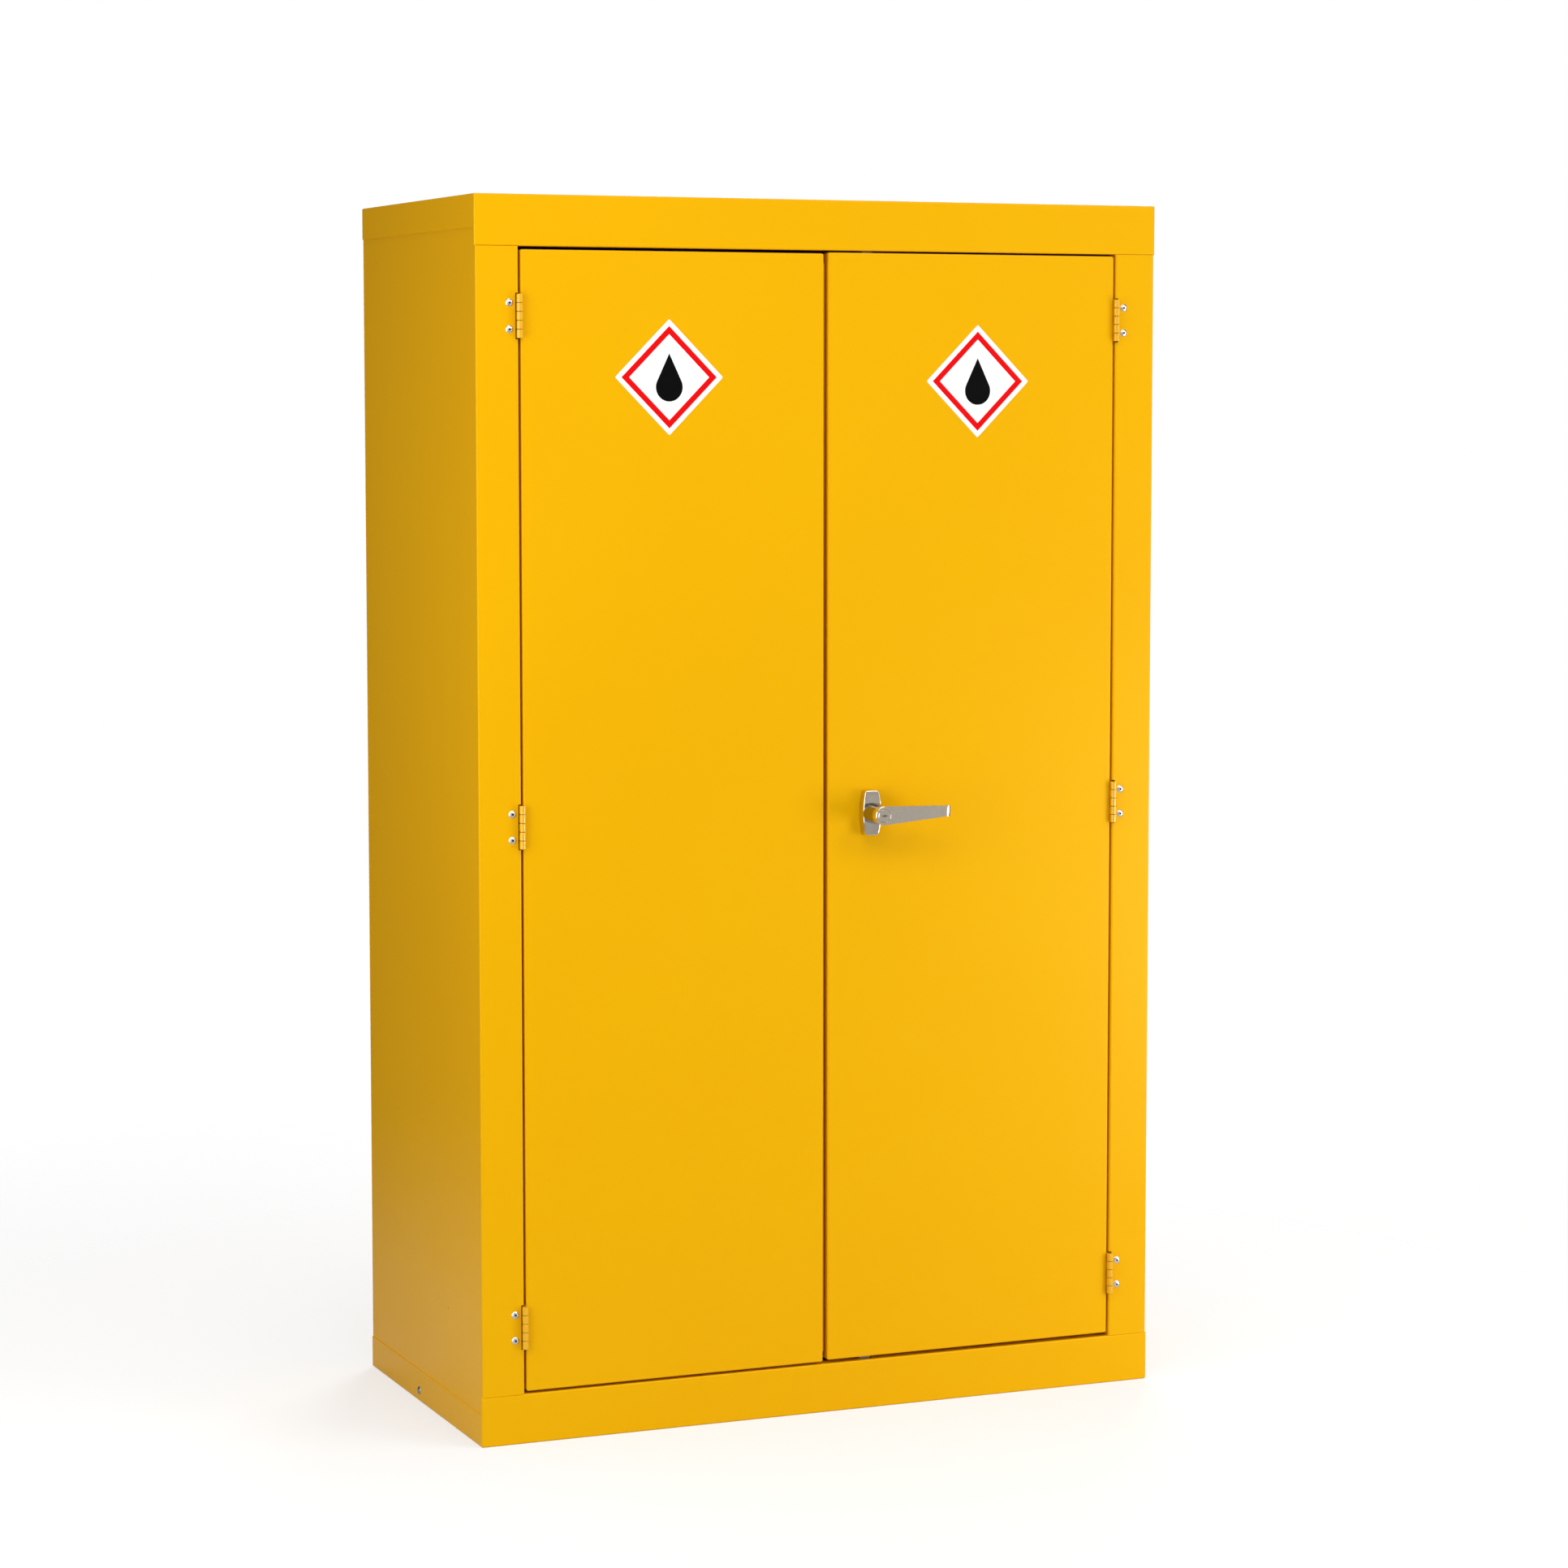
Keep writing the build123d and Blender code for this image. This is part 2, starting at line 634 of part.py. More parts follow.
with BuildPart() as lock_plug:
    with BuildSketch(on_spindle(lever_front + plug_length)):
        Circle(plug_radius)
    extrude(amount=plug_length)
    chamfer(lock_plug.faces().sort_by(Axis.Y)[0].edges(), length=plug_edge)
    # Keyway: a narrow slot, wider at its middle and at one end.
    with BuildSketch(on_spindle(lever_front + key_depth)):
        SlotOverall(8.0, 1.0)
        Circle(1.5)
        with Locations((-3.0, 0)):
            Circle(1.0)
    extrude(amount=key_depth, mode=Mode.SUBTRACT)
lock_plug.part.label = "lock_plug"
export_step(lock_plug.part, "parts/lock_plug.step")

cam_screw_head = 4.5
cam_screw_radius = 2.0
cam_arm_width = 11.0
cam_hub_radius = 9.0
cam_pin_play = 0.4      # between a locking bar and the head of its pin
cam_pin_head = 1.2      # the head's thickness, and how far it stands out round the pin


def cam_screw_shape():
    """Countersunk screw on the spindle's axis, its head flush with the back of the cam plate."""
    with BuildPart() as screw:
        with BuildSketch(Plane.XY.offset(spindle_z)):
            with BuildLine():
                Polyline((spindle_x, cam_back), (spindle_x + cam_screw_head, cam_back),
                         (spindle_x + cam_screw_radius, cam_back - cam_screw_head + cam_screw_radius),
                         (spindle_x + cam_screw_radius, cam_front - screw_depth),
                         (spindle_x, cam_front - screw_depth), close=True)
            make_face()
        revolve(axis=Axis((spindle_x, front, spindle_z), (0, 1, 0)))
    return screw


cam_screw = cam_screw_shape()
cam_screw.part.label = "cam_screw"
export_step(cam_screw.part, "parts/cam_screw.step")

with BuildPart() as handle_spindle:
    with BuildSketch(on_spindle(cam_front)):
        Circle(spindle_radius)
    extrude(amount=cam_front - spindle_front)
    add(cam_screw.part, mode=Mode.SUBTRACT)
handle_spindle.part.label = "handle_spindle"
export_step(handle_spindle.part, "parts/handle_spindle.step")

# The cam pins sit on a diagonal, so that a quarter turn carries each straight past the axis.
pin_offset = cam_radius * cos(radians(45))
cam_pin_places = [(-pin_offset, -pin_offset), (pin_offset, pin_offset)]

with BuildPart() as lock_cam_plate:
    with BuildSketch(on_spindle(cam_back)):
        SlotCenterToCenter(2 * cam_radius, cam_arm_width, rotation=45)
        Circle(cam_hub_radius)
        with Locations(*cam_pin_places):
            Circle(cam_pin_radius, mode=Mode.SUBTRACT)
    extrude(amount=cam_back - cam_front)
    add(cam_screw.part, mode=Mode.SUBTRACT)
lock_cam_plate.part.label = "lock_cam_plate"
export_step(lock_cam_plate.part, "parts/lock_cam_plate.step")

with BuildPart() as cam_pins:
    head_front = bar_back + cam_pin_play
    with BuildSketch(on_spindle(head_front)):
        with Locations(*cam_pin_places):
            Circle(cam_pin_radius)
    extrude(amount=head_front - cam_front)
    with BuildSketch(on_spindle(head_front + cam_pin_head)):
        with Locations(*cam_pin_places):
            Circle(cam_pin_radius + cam_pin_head)
    extrude(amount=cam_pin_head)
cam_pins.part.label = "cam_pins"
export_step(cam_pins.part, "parts/cam_pins.step")


# ---- Locking bars ----
leg_inner = 2.0
leg_outer = 19.0
leg_end = 14.0
neck_start = 19.0
slot_play = 0.35
slot_half_height = cam_pin_radius + 0.65
tip_chamfer = 2.0


def locking_bar(end):
    """Flat bar with an offset leg that a cam pin drives; end is +1 for the upper bar."""
    half = bar_width / 2
    shoulder = bar_reach - tip_chamfer
    outline = [(-half, shoulder), (tip_chamfer - half, bar_reach), (half - tip_chamfer, bar_reach),
               (half, shoulder), (half, neck_start), (-leg_inner, neck_start),
               (-leg_inner, -leg_end), (-leg_outer, -leg_end), (-leg_outer, neck_start + half),
               (-half, neck_start + half)]
    slot_left = -cam_radius - cam_pin_radius - slot_play
    slot_right = -pin_offset + cam_pin_radius + slot_play
    with BuildPart() as bar:
        with BuildSketch(on_spindle(bar_back)):
            with BuildLine():
                Polyline(*((end * x, end * z) for x, z in outline), close=True)
            make_face()
            with Locations((end * (slot_left + slot_right) / 2, -end * pin_offset)):
                Rectangle(slot_right - slot_left, 2 * slot_half_height, mode=Mode.SUBTRACT)
        extrude(amount=bar_thickness)
    return bar


for name, end in {"upper": 1, "lower": -1}.items():
    bar = locking_bar(end)
    bar.part.label = f"{name}_locking_rod"
    export_step(bar.part, f"parts/{name}_locking_rod.step")

guide_places = [spindle_z + end * reach for end in (-1, 1) for reach in (70, bar_reach - 45)]
guide_width = 20.0
guide_play = 0.5
guide_foot = 10.9

with BuildPart() as rod_guides:
    guide_half = bar_width / 2 + guide_play + sheet / 2
    guide_section = hat_section(spindle_x, inside_face + sheet / 2, bar_back + guide_play + sheet / 2,
                                guide_half, guide_foot)
    for z in guide_places:
        extrude(bent_strip(z - guide_width / 2, guide_section), amount=guide_width)
rod_guides.part.label = "rod_guides"
export_step(rod_guides.part, "parts/rod_guides.step")
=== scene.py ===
"""Flammable storage cabinet: camera, studio, finishes and the pieces that Blender refines.

Everything is in metres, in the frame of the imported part: +Z up, -Y towards the doors.
"""
import json
import math

import bmesh
import bpy
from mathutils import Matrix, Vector


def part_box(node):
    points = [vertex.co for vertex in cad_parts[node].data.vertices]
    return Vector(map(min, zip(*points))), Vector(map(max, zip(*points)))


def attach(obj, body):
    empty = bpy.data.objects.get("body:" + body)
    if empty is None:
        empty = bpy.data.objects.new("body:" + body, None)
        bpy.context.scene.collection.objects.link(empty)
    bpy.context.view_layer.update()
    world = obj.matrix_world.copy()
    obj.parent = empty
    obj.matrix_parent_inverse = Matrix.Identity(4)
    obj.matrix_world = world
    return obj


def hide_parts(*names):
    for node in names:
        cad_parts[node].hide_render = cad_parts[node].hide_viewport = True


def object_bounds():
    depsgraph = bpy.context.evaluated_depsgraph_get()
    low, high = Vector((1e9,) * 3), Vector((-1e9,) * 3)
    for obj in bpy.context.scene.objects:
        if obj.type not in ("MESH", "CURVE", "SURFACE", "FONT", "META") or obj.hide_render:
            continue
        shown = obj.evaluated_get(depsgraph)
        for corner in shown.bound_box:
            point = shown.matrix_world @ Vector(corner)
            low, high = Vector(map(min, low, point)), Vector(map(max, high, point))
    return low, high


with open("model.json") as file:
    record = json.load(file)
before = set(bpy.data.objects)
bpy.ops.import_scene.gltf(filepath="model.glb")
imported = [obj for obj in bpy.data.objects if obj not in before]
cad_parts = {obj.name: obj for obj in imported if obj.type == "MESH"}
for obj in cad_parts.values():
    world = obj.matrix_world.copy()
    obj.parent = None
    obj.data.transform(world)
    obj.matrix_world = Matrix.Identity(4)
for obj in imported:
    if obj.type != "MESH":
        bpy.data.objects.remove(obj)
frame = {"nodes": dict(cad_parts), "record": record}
cad_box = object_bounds()
nodes = frame["nodes"]

# ---- Colours, linear ----
YELLOW = (0.82, 0.425, 0.0)             # the two close tones of the powder coat
YELLOW_DEEP = (0.81, 0.408, 0.0)
YELLOW_GLOSS = (1.0, 0.75, 0.22)        # tint of its reflection where it is seen straight on
HINGE_GLOSS = (1.0, 0.92, 0.70)         # the same for the glossier coat of the hinges
LEAF_PAINTED_SHADE = (0.06, 0.022, 0.005)       # painted shade on the frame leaves in the notches, behind the cabinet's face: a dark tone for the shade inside the notches
CHROME = (0.74, 0.66, 0.56)
HANDLED_CHROME = (0.80, 0.71, 0.59)     # the lever and its plug, dulled by hands
NECK_PAINTED_SHADE = (0.36, 0.34, 0.26)       # painted shade on the lever's neck: a darker tone for its reflection of the shaded door behind the lever
VINYL_WHITE = (0.92, 0.92, 0.92)
VINYL_RED = (0.80, 0.003, 0.004)
VINYL_BLACK = (0.002, 0.002, 0.002)
FLOOR_TONES = ((0.88, 0.88, 0.88), (0.90, 0.90, 0.90))


# ---- Materials ----
class Finish:
    """A procedural material: its Principled shader's constants, and nodes added by short calls."""

    def __init__(self, name, **constants):
        self.material = bpy.data.materials.new(name)
        self.material.use_nodes = True
        self.tree = self.material.node_tree
        self.shader = self.tree.nodes["Principled BSDF"]
        for words, value in constants.items():
            socket = words.replace("_", " ").title().replace("Ior", "IOR")
            self.feed(self.shader.inputs[socket], value)
        self.place = self.node("ShaderNodeTexCoord").outputs["Object"]

    def feed(self, socket, value):
        """Give a socket a value, a colour or another node's output."""
        if isinstance(value, bpy.types.NodeSocket):
            self.tree.links.new(value, socket)
        elif socket.type == "RGBA":
            socket.default_value = (*value, 1)
        else:
            socket.default_value = value

    def node(self, kind, inputs=(), **settings):
        """A node with some settings and inputs."""
        made = self.tree.nodes.new(kind)
        for name, value in settings.items():
            setattr(made, name, value)
        for name, value in dict(inputs).items():
            self.feed(made.inputs[name], value)
        return made

    def noise(self, scale, detail, stretch=None):
        """Noise between 0 and 1; stretch scales the place along each axis first."""
        place = self.place
        if stretch:
            place = self.node("ShaderNodeMapping", {"Vector": place, "Scale": stretch}).outputs[0]
        made = self.node("ShaderNodeTexNoise", {"Vector": place, "Scale": scale, "Detail": detail})
        return made.outputs["Fac"]

    def cells(self, scale):
        """A random colour for each cell of a Voronoi pattern."""
        made = self.node("ShaderNodeTexVoronoi", {"Vector": self.place, "Scale": scale})
        return made.outputs["Color"]

    def remap(self, value, low, high, to_low, to_high):
        """Value, rescaled from low..high to to_low..to_high and clamped."""
        made = self.node("ShaderNodeMapRange", {"Value": value, "From Min": low, "From Max": high,
                                                "To Min": to_low, "To Max": to_high})
        return made.outputs[0]

    def mix(self, factor, first, second):
        """A colour between two colours, by a factor that varies over the surface."""
        # The node has sockets of the same name for each kind of data; 6 and 7 take the colours.
        made = self.node("ShaderNodeMix", {0: factor, 6: first, 7: second}, data_type="RGBA")
        return made.outputs[2]

    def bump(self, height, strength, distance, under=None):
        """Relief, with another relief under it if given."""
        inputs = {"Height": height, "Strength": strength, "Distance": distance}
        if under is not None:
            inputs["Normal"] = under
        return self.node("ShaderNodeBump", inputs).outputs[0]

    def to_shader(self, socket, value):
        """Drive one of the shader's inputs by a node's output."""
        self.tree.links.new(value, self.shader.inputs[socket])


def darker(tone, share):
    """A tone, darkened to this share of itself."""
    return tuple(share * c for c in tone)


def powder_coat(name, roughness=0.27, gloss=0.30, sheen_tint=YELLOW_GLOSS):
    """Semi-gloss yellow powder coat: orange peel, faint clouding and handling marks."""
    finish = Finish(name, specular_ior_level=gloss, specular_tint=sheen_tint)
    clouds = finish.remap(finish.noise(2.2, 3), 0.35, 0.65, 0.0, 1.0)
    specks = finish.remap(finish.noise(900, 1), 0.3, 0.7, 0.0, 0.25)
    tint = finish.mix(clouds, YELLOW, YELLOW_DEEP)
    finish.to_shader("Base Color", finish.mix(specks, tint, YELLOW_DEEP))
    handling = finish.remap(finish.noise(9, 3), 0.25, 0.75, roughness, roughness + 0.06)
    finish.to_shader("Roughness", handling)
    orange_peel = finish.bump(finish.noise(180, 2), 0.10, 0.0002)
    finish.to_shader("Normal", finish.bump(finish.noise(700, 1), 0.10, 0.0001, orange_peel))
    return finish


def paint_shade_behind(finish, face, depth, tone):
    """Painted shade: a darker tone behind a plane that faces the front, reached over some depth."""
    base = finish.shader.inputs["Base Color"].links[0].from_socket
    split = finish.node("ShaderNodeSeparateXYZ", {"Vector": finish.place})
    behind = finish.remap(split.outputs["Y"], face, face + depth, 0.0, 1.0)
    finish.to_shader("Base Color", finish.mix(behind, base, tone))
    return finish


def galvanised(name, tone):
    """Galvanised sheet: spangle that changes in tone and gloss from crystal to crystal."""
    finish = Finish(name, metallic=1.0)
    crystal = finish.cells(85)
    grey = finish.node("ShaderNodeRGBToBW", {"Color": crystal}).outputs[0]
    finish.to_shader("Base Color", finish.mix(grey, darker(tone, 0.72), tone))
    finish.to_shader("Roughness", finish.remap(grey, 0, 1, 0.30, 0.48))
    finish.to_shader("Normal", finish.bump(finish.noise(300, 2), 0.10, 0.0002))
    return finish


def brushed(name, tone, roughness, stretch):
    """Drawn or brushed metal: fine streaks along the axis that is stretched least."""
    finish = Finish(name, metallic=1.0)
    streaks = finish.noise(600, 3, stretch)
    finish.to_shader("Base Color", finish.mix(streaks, darker(tone, 0.86), tone))
    finish.to_shader("Roughness", finish.remap(streaks, 0.3, 0.7, roughness - 0.05, roughness + 0.07))
    finish.to_shader("Normal", finish.bump(streaks, 0.08, 0.00005))
    return finish


def polished(name, tone, roughness, stains=0.08):
    """Plated, polished metal with clouding and finger marks, darker by up to the share of stains."""
    finish = Finish(name, metallic=1.0)
    haze = finish.remap(finish.noise(110, 3), 0.38, 0.62, 0.0, 1.0)
    finish.to_shader("Base Color", finish.mix(haze, darker(tone, 1 - stains), tone))
    finish.to_shader("Roughness", finish.remap(haze, 0, 1, roughness + 0.5 * stains, roughness))
    finish.to_shader("Normal", finish.bump(finish.noise(260, 2), 0.03, 0.00005))
    return finish


def vinyl(name, colour):
    """Printed gloss vinyl with the faint mottling of the ink."""
    finish = Finish(name, specular_ior_level=0.07)
    ink = finish.remap(finish.noise(700, 2), 0.3, 0.7, 0.0, 1.0)
    finish.to_shader("Base Color", finish.mix(ink, colour, darker(colour, 0.95)))
    finish.to_shader("Roughness", finish.remap(finish.noise(60, 2), 0.3, 0.7, 0.28, 0.36))
    finish.to_shader("Normal", finish.bump(finish.noise(150, 2), 0.04, 0.0002))
    return finish


CABINET_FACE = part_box("top_panel")[0].y
LEAF_SHADE_FADE = 0.0004          # the painted shade on the frame leaves comes in over this depth behind the cabinet's face
LEVER_THICKNESS = 0.010
LEVER_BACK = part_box("handle_lever")[0].y + LEVER_THICKNESS
NECK_SHADE_FADE = 0.003           # the painted shade on the lever's neck comes in over this depth behind its flat part
HINGE_COAT = {"roughness": 0.14, "gloss": 1.0, "sheen_tint": HINGE_GLOSS}
HANDLED = {"tone": HANDLED_CHROME, "roughness": 0.14, "stains": 0.20}

carcass_paint = powder_coat("carcass_paint_coat").material
door_paint = powder_coat("door_paint_coat").material
hinge_paint = powder_coat("hinge_paint_coat", **HINGE_COAT).material
# The frame leaves are darkened behind the cabinet's face: painted shade for the dark notches beside
# the knuckles.
leaf_coat = powder_coat("frame_leaf_coat_painted_shade", **HINGE_COAT)
frame_leaf_shaded_paint = paint_shade_behind(leaf_coat, CABINET_FACE, LEAF_SHADE_FADE, LEAF_PAINTED_SHADE).material
shelf_steel = galvanised("shelf_galvanised", (0.66, 0.67, 0.68)).material
fitting_zinc = galvanised("fitting_zinc_plate", (0.62, 0.63, 0.65)).material
# The hinge pins are near black: painted shade for the dark lines between the knuckles.
pin_steel = brushed("pin_steel_painted_shade", (0.10, 0.085, 0.06), 0.45, (1, 1, 12)).material
lock_steel = brushed("lock_zinc_plate", (0.50, 0.50, 0.48), 0.36, (12, 1, 1)).material
bar_steel = brushed("locking_bar_aged_zinc", (0.24, 0.23, 0.21), 0.40, (12, 12, 1)).material
rivet_aluminium = polished("rivet_satin_aluminium", (0.78, 0.77, 0.76), 0.32).material
# The rivet stems are real, but their near-black tone is painted shade for the hollow of the rivets'
# recess.
stem_steel = brushed("rivet_stem_steel_painted_shade", (0.02, 0.02, 0.02), 0.5, (1, 1, 1)).material
chrome = polished("handle_polished_chrome", CHROME, 0.06).material
# The lever's neck, behind its flat part, gets painted shade: a darker tone standing in for its
# reflection of the shaded door.
lever_coat = polished("lever_handled_chrome_shaded_neck", **HANDLED)
lever_chrome_with_shaded_neck = paint_shade_behind(lever_coat, LEVER_BACK, NECK_SHADE_FADE, NECK_PAINTED_SHADE).material
plug_chrome = polished("plug_handled_chrome", **HANDLED).material
white_vinyl = vinyl("label_white", VINYL_WHITE).material
red_vinyl = vinyl("label_red", VINYL_RED).material
black_vinyl = vinyl("label_black", VINYL_BLACK).material

FINISH_OF_SLOT = {
    "carcass_paint": carcass_paint,
    "door_paint": door_paint,
    "hinge_paint": hinge_paint,
    "shelf_steel": shelf_steel,
    "fitting_zinc": fitting_zinc,
    "pin_steel": pin_steel,
    "lock_steel": lock_steel,
    "rivet_aluminium": rivet_aluminium,
    "label_vinyl": white_vinyl,
    "handle_chrome": chrome,
    "plug_chrome": plug_chrome,
}


def finish_of(node, slot):
    """A CAD node's finish: its slot's, except for the nodes that look different within a slot."""
    if "frame_leaf" in node:
        return frame_leaf_shaded_paint
    if node == "handle_lever":
        return lever_chrome_with_shaded_neck
    if "locking_rod" in node:
        return bar_steel
    return FINISH_OF_SLOT[slot]


def paint_cad_nodes():
    """Every CAD node gets its finish."""
    for part in frame["record"]["subparts"]:
        for holder in nodes[part["node"]].material_slots:
            holder.material = finish_of(part["node"], part["material_slot"])


# ---- Pieces ----
def add_rings(mesh, rings, tones):
    """A closed solid through rings of points, from its back to its front.

    The tones are numbers of materials: one for each band between two rings, and the front's.
    """
    for outer, inner, tone in zip(rings, rings[1:], tones):
        for i in range(len(outer)):
            j = (i + 1) % len(outer)
            face = mesh.faces.new((outer[i], outer[j], inner[j], inner[i]))
            face.material_index = tone
    mesh.faces.new(rings[-1]).material_index = tones[-1]
    mesh.faces.new(rings[0][::-1]).material_index = tones[0]


def add_piece(name, mesh, materials, body):
    """A new object from a bmesh, its faces turned outwards, riding on a body."""
    bmesh.ops.recalc_face_normals(mesh, faces=mesh.faces)
    data = bpy.data.meshes.new(name)
    mesh.to_mesh(data)
    mesh.free()
    for material in materials:
        data.materials.append(material)
    piece = bpy.data.objects.new(name, data)
    bpy.context.scene.collection.objects.link(piece)
    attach(piece, body)
    return piece


LABEL_MARGIN = 0.006        # white edge outside the red band, across the flats
LABEL_BAND = 0.007          # width of the red band
LABEL_CORNER = 0.0008       # radius that the diamond's corners are cut back for
LABEL_BEVEL = 0.00015       # width of the bevel round the label's front
LABEL_BEVEL_DEPTH = 0.00008
DROP_RADIUS = 0.0175
DROP_TIP = 0.041            # from the middle of the drop's round end to its tip
DROP_SINK = -0.012          # the round end's middle below the label's middle
RING_POINTS = 160


def square_ring(half, corner):
    """Points round a square stood on its corner, by equal steps of angle, with blunted corners."""
    points = []
    reach = half * math.sqrt(2)
    straight = reach - corner * (math.sqrt(2) - 1)      # as far as a rounded corner would reach
    for i in range(RING_POINTS):
        angle = 2 * math.pi * i / RING_POINTS
        c, s = math.cos(angle), math.sin(angle)
        radius = min(reach / (abs(c) + abs(s)), straight / max(abs(c), abs(s)))
        points.append((radius * c, radius * s))
    return points


def drop_ring():
    """Points round a plain drop: a round lower end with straight shoulders up to a tip."""
    points = []
    touch = math.asin(DROP_RADIUS / DROP_TIP)           # the shoulders meet the round end here
    for i in range(RING_POINTS):
        angle = 2 * math.pi * i / RING_POINTS
        from_top = abs((angle - math.pi / 2 + math.pi) % (2 * math.pi) - math.pi)
        if from_top < math.pi / 2 - touch:
            radius = DROP_TIP * math.sin(touch) / math.sin(math.pi - touch - from_top)
        else:
            radius = DROP_RADIUS
        points.append((radius * math.cos(angle), DROP_SINK + radius * math.sin(angle)))
    return points


def make_label(side):
    """Printed vinyl diamond: white margin, red band, white field and a black drop, all flush."""
    node = f"{side}_door_label"
    low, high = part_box(node)
    centre = (low + high) / 2
    corner_reach = (high.x - low.x) / 2
    half = (corner_reach + LABEL_CORNER * (math.sqrt(2) - 1)) / math.sqrt(2)
    outlines = [(square_ring(half, LABEL_CORNER), high.y),
                (square_ring(half, LABEL_CORNER), low.y + LABEL_BEVEL_DEPTH),
                (square_ring(half - LABEL_BEVEL, LABEL_CORNER), low.y),
                (square_ring(half - LABEL_MARGIN, 0.0), low.y),
                (square_ring(half - LABEL_MARGIN - LABEL_BAND, 0.0), low.y),
                (drop_ring(), low.y)]
    mesh = bmesh.new()
    rings = []
    for outline, y in outlines:
        rings.append([mesh.verts.new((centre.x + x, y, centre.z + z)) for x, z in outline])
    white, red, black = range(3)
    add_rings(mesh, rings, (white, white, white, red, white, black))
    label = add_piece(f"{side}_label_print", mesh, [white_vinyl, red_vinyl, black_vinyl],
                      f"{side}_door")
    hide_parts(node)


ISLAND_GAP = 0.005          # the solids of one node stand further apart than this in height
STEM_RADIUS = 0.0013        # a rivet's broken stem, just inside its recess
STEM_SIDES = 16
# Rings of the stem: share of its radius, then depth behind the rivets' front.
STEM_RINGS = ((1.0, 0.0009), (1.0, 0.0005), (0.7, 0.00035))


def island_heights(node):
    """Middle heights of the separate solids in a node, from lowest to highest."""
    heights = sorted(v.co.z for v in node.data.vertices)
    groups = [[heights[0]]]
    for z in heights[1:]:
        if z - groups[-1][-1] > ISLAND_GAP:
            groups.append([])
        groups[-1].append(z)
    return [(group[0] + group[-1]) / 2 for group in groups]


def make_rivet_stems(side):
    """The broken stem left in each blind rivet, with a bevelled end; its near-black tone is painted
    shade for the hollow of the recess.
    """
    low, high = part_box(f"{side}_hinge_rivets")
    middle_x = (low.x + high.x) / 2
    angles = [2 * math.pi * i / STEM_SIDES for i in range(STEM_SIDES)]
    mesh = bmesh.new()
    for middle_z in island_heights(nodes[f"{side}_hinge_rivets"]):
        rings = []
        for share, depth in STEM_RINGS:
            radius = share * STEM_RADIUS
            rings.append([mesh.verts.new((middle_x + radius * math.cos(a), low.y + depth,
                                          middle_z + radius * math.sin(a))) for a in angles])
        add_rings(mesh, rings, (0, 0, 0))
    stems = add_piece(f"{side}_rivet_stems", mesh, [stem_steel], "cabinet")


LEVER_EDGE = 0.0007         # width of the rounding on the lever's edges
EDGE_SEGMENTS = 3
EDGE_ANGLE = math.radians(40)
WELD_DISTANCE = 1e-6        # joins the corners that the CAD faces hold apart


def soften_edges(node, width):
    """Small rounded edges on a CAD node, as modifiers."""
    piece = nodes[node]
    weld = piece.modifiers.new("weld", "WELD")
    weld.merge_threshold = WELD_DISTANCE
    bevel = piece.modifiers.new("edges", "BEVEL")
    bevel.width = width
    bevel.segments = EDGE_SEGMENTS
    bevel.limit_method = "ANGLE"
    bevel.angle_limit = EDGE_ANGLE
    bevel.use_clamp_overlap = True
    bevel.harden_normals = True


# ---- Camera ----
CAMERA_AZIMUTH = math.radians(-22.717)      # left of the cabinet
CAMERA_ELEVATION = math.radians(5.090)
CAMERA_DISTANCE = 5.195
CAMERA_AIM = (cad_box[0] + cad_box[1]) / 2 + Vector((0, -0.069, 0.066))
CAMERA_LENS = 93.13                         # in millimetres, as is the sensor's width
CAMERA_SENSOR = 36
CAMERA_SHIFT = -0.02


def add_camera():
    """The camera, at its distance from the point that it aims at."""
    data = bpy.data.cameras.new("camera")
    data.sensor_width = CAMERA_SENSOR
    data.lens = CAMERA_LENS
    data.shift_y = CAMERA_SHIFT
    camera = bpy.data.objects.new("camera", data)
    back = Vector((math.sin(CAMERA_AZIMUTH) * math.cos(CAMERA_ELEVATION),
                   -math.cos(CAMERA_AZIMUTH) * math.cos(CAMERA_ELEVATION),
                   math.sin(CAMERA_ELEVATION)))
    camera.location = CAMERA_AIM + back * CAMERA_DISTANCE
    camera.rotation_euler = (-back).to_track_quat("-Z", "Y").to_euler()
    bpy.context.scene.collection.objects.link(camera)
    bpy.context.scene.camera = camera


# ---- Studio ----
FLOOR_RADIUS = 2.2
FLOOR_SIDES = 96
FLOOR_COVER = 0.5           # the floor is thin, so its shadows and its reflections stay faint
FLOOR_FADE = (0.25, 0.98)   # shares of its radius where it starts to fade and where it is gone
# Brightness of what lights the object: place along the axis from 0 to 1, then grey.
FRONT_TO_REAR = ((0.0, 0.52), (0.25, 0.38), (0.45, 0.10), (1.0, 0.05))
FLOOR_TO_CEILING = ((0.0, 0.65), (0.45, 0.93), (0.52, 1.0), (0.62, 0.7), (0.75, 0.35), (1.0, 0.3))
OVERHEAD_SPREAD = math.radians(50)


def grey_along(tree, coordinate, stops):
    """Grey by a coordinate that runs from -1 to 1."""
    along = tree.nodes.new("ShaderNodeMapRange")
    along.inputs["From Min"].default_value = -1
    ramp = tree.nodes.new("ShaderNodeValToRGB")
    elements = ramp.color_ramp.elements
    while len(elements) < len(stops):
        elements.new(0.5)
    for element, (at, grey) in zip(elements, stops):
        element.position = at
        element.color = (grey, grey, grey, 1)
    tree.links.new(coordinate, along.inputs["Value"])
    tree.links.new(along.outputs[0], ramp.inputs[0])
    return ramp.outputs[0]


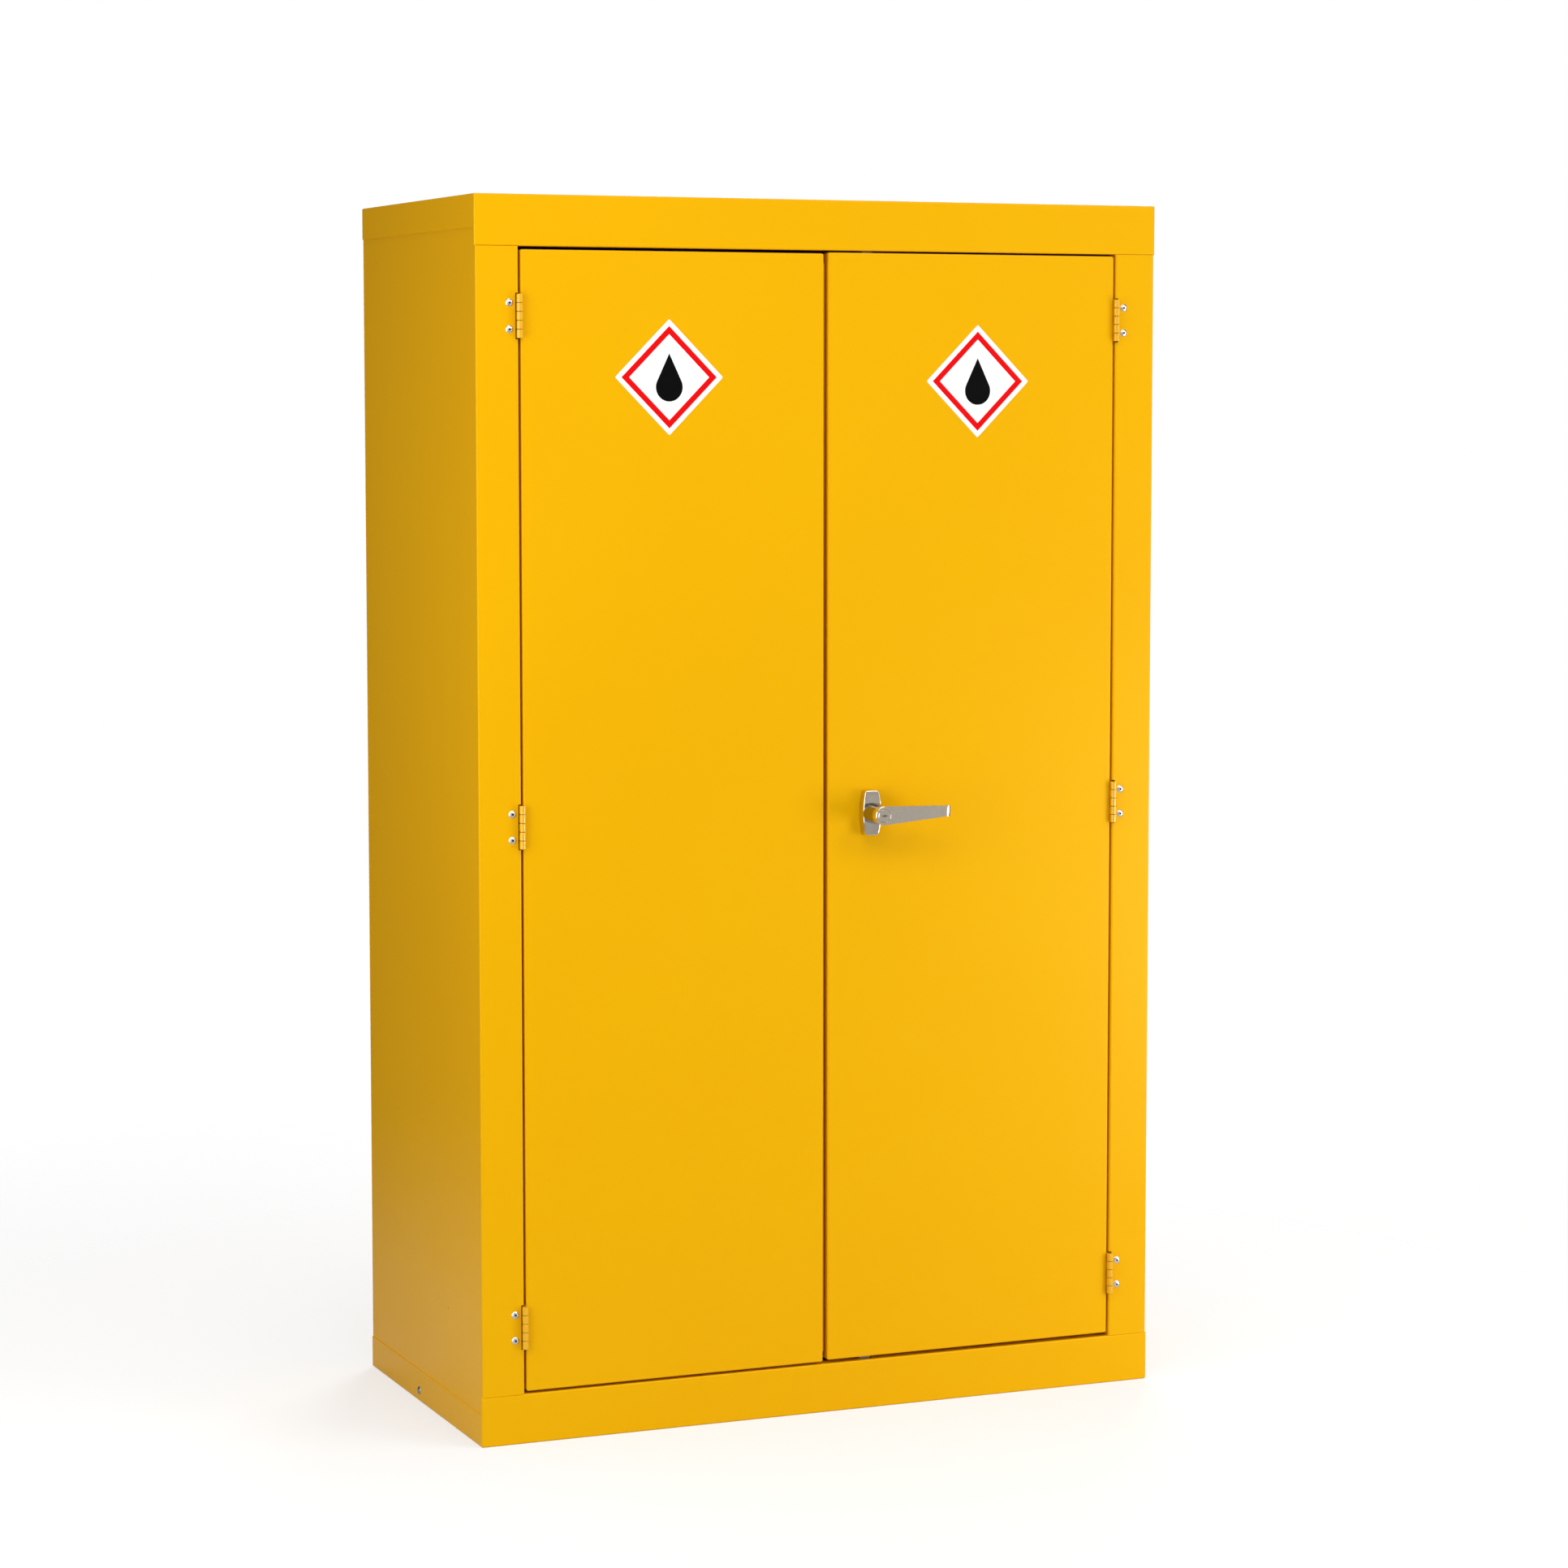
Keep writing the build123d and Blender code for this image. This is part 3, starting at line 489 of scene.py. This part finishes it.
def add_world():
    """White behind the object; what lights it is a wide soft front and a dim rear."""
    world = bpy.data.worlds.new("studio")
    bpy.context.scene.world = world
    world.use_nodes = True
    tree = world.node_tree
    tree.nodes.clear()
    link = tree.links.new
    output = tree.nodes.new("ShaderNodeOutputWorld")
    seen = tree.nodes.new("ShaderNodeBackground")
    seen.inputs["Color"].default_value = (1, 1, 1, 1)
    lit = tree.nodes.new("ShaderNodeBackground")
    path = tree.nodes.new("ShaderNodeLightPath")
    pick = tree.nodes.new("ShaderNodeMixShader")
    place = tree.nodes.new("ShaderNodeTexCoord")
    split = tree.nodes.new("ShaderNodeSeparateXYZ")
    both = tree.nodes.new("ShaderNodeVectorMath")
    both.operation = "MULTIPLY"
    link(place.outputs["Generated"], split.inputs[0])
    link(grey_along(tree, split.outputs["Y"], FRONT_TO_REAR), both.inputs[0])
    link(grey_along(tree, split.outputs["Z"], FLOOR_TO_CEILING), both.inputs[1])
    link(both.outputs[0], lit.inputs["Color"])
    link(path.outputs["Is Camera Ray"], pick.inputs[0])
    link(lit.outputs[0], pick.inputs[1])
    link(seen.outputs[0], pick.inputs[2])
    link(pick.outputs[0], output.inputs[0])


def add_floor():
    """A round white floor that fades out towards its rim, into the white background."""
    data = bpy.data.meshes.new("floor")
    angles = [2 * math.pi * i / FLOOR_SIDES for i in range(FLOOR_SIDES)]
    rim = [(FLOOR_RADIUS * math.cos(a), FLOOR_RADIUS * math.sin(a), 0) for a in angles]
    data.from_pydata(rim, [], [tuple(range(FLOOR_SIDES))])
    floor = bpy.data.objects.new("floor", data)
    bpy.context.scene.collection.objects.link(floor)
    finish = Finish("floor_paper", roughness=0.9, specular_ior_level=0.2)
    finish.to_shader("Base Color", finish.mix(finish.noise(1.5, 3), *FLOOR_TONES))
    length = finish.node("ShaderNodeVectorMath", {0: finish.place}, operation="LENGTH")
    start, end = (share * FLOOR_RADIUS for share in FLOOR_FADE)
    finish.to_shader("Alpha", finish.remap(length.outputs["Value"], start, end, FLOOR_COVER, 0.0))
    data.materials.append(finish.material)


def add_overhead(strength):
    """Even, very soft light from straight above, which keeps the floor white."""
    data = bpy.data.lights.new("overhead", "SUN")
    data.energy = strength
    data.angle = OVERHEAD_SPREAD
    bpy.context.scene.collection.objects.link(bpy.data.objects.new("overhead", data))


def round_the_object(azimuth, distance, height):
    """A place at this azimuth, counted from the front towards the right, round the origin."""
    angle = math.radians(azimuth)
    return (distance * math.sin(angle), -distance * math.cos(angle), height)


def add_softbox(name, place, size, power, aim):
    """A lamp that the camera doesn't see, facing a point."""
    data = bpy.data.lights.new(name, "AREA")
    data.shape = "RECTANGLE"
    data.size, data.size_y = size
    data.energy = power
    lamp = bpy.data.objects.new(name, data)
    lamp.location = place
    lamp.rotation_euler = (Vector(place) - Vector(aim)).to_track_quat("Z", "Y").to_euler()
    lamp.visible_camera = False
    bpy.context.scene.collection.objects.link(lamp)


def add_studio():
    """World, floor and lamps; a softbox has a place, a size, a power in watts and an aim."""
    add_world()
    add_floor()
    add_overhead(1.35)
    add_softbox("key", round_the_object(33, 3.2, 3.0), (1.2, 1.2), 26.5, aim=(0, -0.2, 0.9))
    add_softbox("top_left", (-0.6, -1.7, 2.5), (1.6, 0.8), 14.5, aim=(-0.2, -0.2, 1.2))
    add_softbox("right_low", (1.7, -1.5, 0.4), (0.8, 0.8), 17, aim=(0.4, -0.2, 0.4))
    add_softbox("right_wall", round_the_object(54, 2.6, 1.3), (0.8, 1.8), 11, aim=(0.2, -0.2, 0.9))
    add_softbox("left_wall", round_the_object(-60, 2.0, 1.05), (0.9, 1.8), 19, aim=(-0.45, 0, 0.9))
    add_softbox("left_rear_strip", round_the_object(-84, 2.4, 1.3), (0.2, 1.8), 5, aim=(-0.4, 0, 0.9))
    add_softbox("rear", round_the_object(150, 3.2, 2.0), (1.6, 1.6), 60, aim=(0, 0.2, 0.8))
    bpy.context.scene.view_settings.view_transform = "Standard"


paint_cad_nodes()
for side in ("left", "right"):
    make_label(side)
    make_rivet_stems(side)
soften_edges("handle_lever", LEVER_EDGE)
add_camera()
add_studio()
